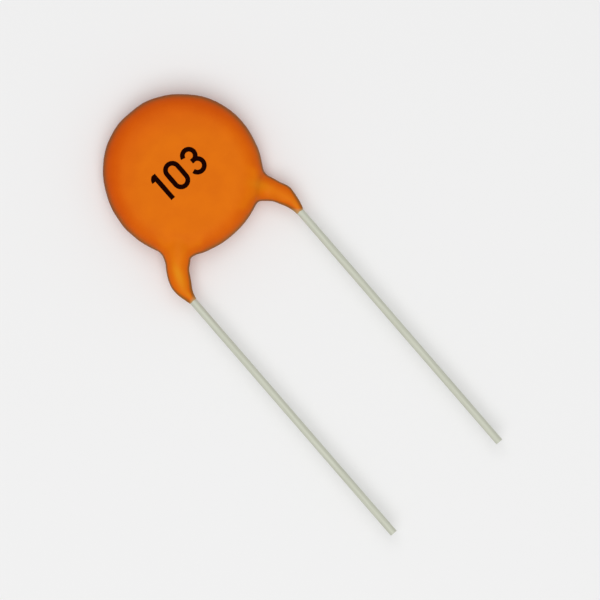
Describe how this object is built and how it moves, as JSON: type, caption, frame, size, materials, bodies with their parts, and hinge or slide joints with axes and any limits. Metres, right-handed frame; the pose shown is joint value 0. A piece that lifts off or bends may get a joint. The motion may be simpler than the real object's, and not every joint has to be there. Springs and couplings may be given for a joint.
{
  "type": "ceramic disc capacitor",
  "caption": "Radial disc capacitor: a ceramic disc with silvered and soldered faces in a dipped resin coating, drawn out into shoulders along straight tinned wire leads.",
  "frame": {"origin": "midway between the two leads, level with the disc's centre, on the back face it lies on", "axes": "+X across the leads to the right, +Y from the leads' cut ends to the disc, +Z out of the marked front face"},
  "size_m": [0.0117, 0.0351, 0.0027],
  "materials": {
    "coating": "satin orange resin",
    "ceramic": "matte fired ceramic",
    "silver": "matte fired silver",
    "solder": "satin solder",
    "tinned_wire": "satin tinned wire"
  },
  "bodies": {
    "root": {"coating": "coating", "ceramic_disc": "ceramic", "front_electrode": "silver", "back_electrode": "silver", "front_solder": "solder", "back_solder": "solder", "left_lead": "tinned_wire", "right_lead": "tinned_wire"}
  },
  "joints": []
}
